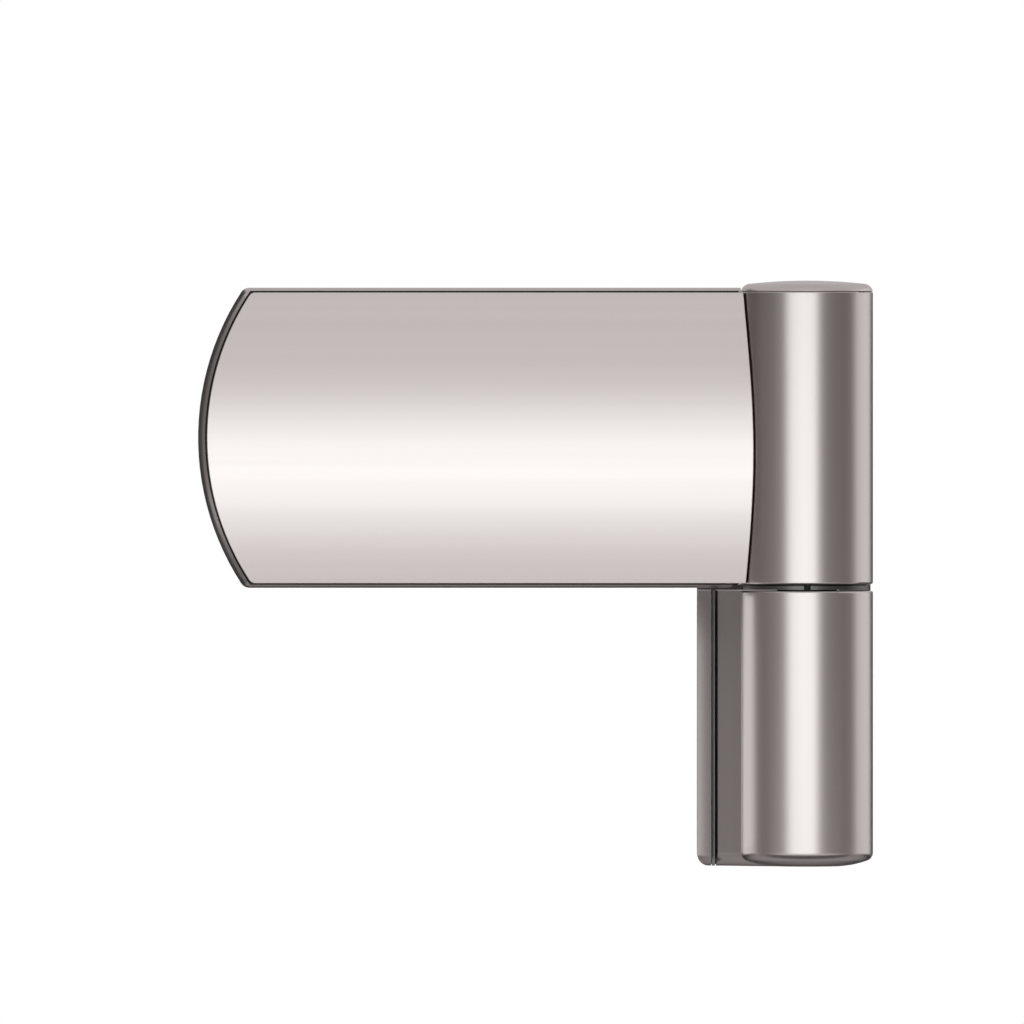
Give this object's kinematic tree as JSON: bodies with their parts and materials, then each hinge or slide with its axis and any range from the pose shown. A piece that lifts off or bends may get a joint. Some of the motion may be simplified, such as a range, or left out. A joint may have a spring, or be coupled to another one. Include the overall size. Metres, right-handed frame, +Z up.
{
  "type": "adjustable door hinge",
  "caption": "Surface-mounted PVC door hinge with a crowned leaf cover, a round barrel and height, side and pressure adjustment.",
  "frame": {"origin": "on the frame part's mounting face, behind the pin axis, at the lower barrel's mid-height", "axes": "+X along the leaf cover towards the barrel, +Y into the door frame, +Z up along the pin"},
  "size_m": [0.1124, 0.039, 0.0975],
  "materials": {
    "satin_metal": "satin",
    "satin_shell": "satin",
    "collar_metal": "satin",
    "cast_grey": "matte",
    "zinc_plated": "satin",
    "bright_steel": "polished",
    "dark_steel": "satin",
    "bearing_plastic": "matte",
    "grey_plastic": "satin"
  },
  "bodies": {
    "frame_mount": {"frame_bracket": "cast_grey", "frame_cover": "satin_metal"},
    "knuckle": {"frame_knuckle": "satin_metal", "knuckle_set_screws": "dark_steel", "pin_lock_screw": "dark_steel", "lower_bush": "bearing_plastic", "bottom_plug": "grey_plastic"},
    "pin": {"hinge_pin": "dark_steel"},
    "height_screw": {"height_screw": "dark_steel"},
    "leaf": {"leaf_carrier": "satin_metal", "leaf_cover": "satin_shell", "upper_bush": "collar_metal", "thrust_pad": "bearing_plastic", "top_cap": "satin_shell"},
    "spindle": {"side_spindle": "bright_steel", "spindle_keeper": "dark_steel"},
    "base": {"base_plate": "zinc_plated", "spindle_nut": "zinc_plated", "clamp_screws": "bright_steel", "clamp_washers": "zinc_plated"}
  },
  "joints": [
    {"name": "pressure_adjust", "type": "slide", "parent": "frame_mount", "child": "knuckle", "axis": [0, -1, 0], "range_m": [-0.0015, 0.0015]},
    {"name": "height_adjust", "type": "slide", "parent": "knuckle", "child": "pin", "axis": [0, 0, 1], "range_m": [0, 0.004]},
    {"name": "height_screw_turn", "type": "hinge", "parent": "pin", "child": "height_screw", "pos_m": [0, -0.028, 0], "axis": [0, 0, 1], "range_deg": [-2, 1442]},
    {"name": "leaf_swing", "type": "hinge", "parent": "pin", "child": "leaf", "pos_m": [0, -0.028, 0.02295], "axis": [0, 0, 1], "range_deg": [0, 180]},
    {"name": "side_adjust", "type": "slide", "parent": "leaf", "child": "base", "axis": [-1, 0, 0], "range_m": [-0.005, 0.005]},
    {"name": "side_spindle_turn", "type": "hinge", "parent": "leaf", "child": "spindle", "pos_m": [-0.059, -0.0288, 0.0484], "axis": [1, 0, 0], "range_deg": [-1802, 1802]}
  ],
  "couplings": [
    {"joint": "height_screw_turn", "follows": "height_adjust", "rad_per_m": 6283.2},
    {"joint": "side_spindle_turn", "follows": "side_adjust", "rad_per_m": 6283.2}
  ]
}
